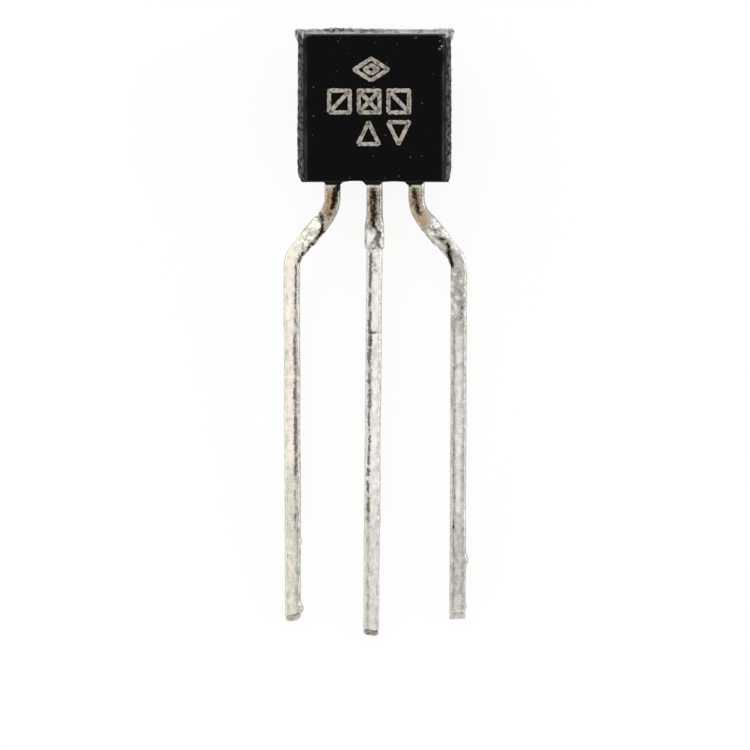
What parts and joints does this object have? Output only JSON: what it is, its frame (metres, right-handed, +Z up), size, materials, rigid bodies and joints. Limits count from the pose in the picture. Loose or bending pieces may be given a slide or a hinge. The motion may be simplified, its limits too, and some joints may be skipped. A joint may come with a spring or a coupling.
{
  "type": "to-92 transistor",
  "caption": "Small transistor: a black epoxy case with one flat face and a round back, and leads formed outwards for a wider hole pitch.",
  "frame": {"origin": "on the surface that the part lies on, under the middle of its box", "axes": "+Y along the part from the lead tips to the case, +Z up out of the flat face, +X to the right as the flat face is read"},
  "size_m": [0.0056, 0.0186, 0.0041],
  "materials": {
    "epoxy": "moulded, matt",
    "tinned_copper": "hot dipped tin, uneven",
    "silicon": "polished",
    "solder": "matt",
    "gold_wire": "bright"
  },
  "bodies": {
    "root": {"case": "epoxy", "emitter_lead": "tinned_copper", "collector_lead": "tinned_copper", "base_lead": "tinned_copper", "chip": "silicon", "chip_solder": "solder", "emitter_wire": "gold_wire", "base_wire": "gold_wire"}
  },
  "joints": []
}
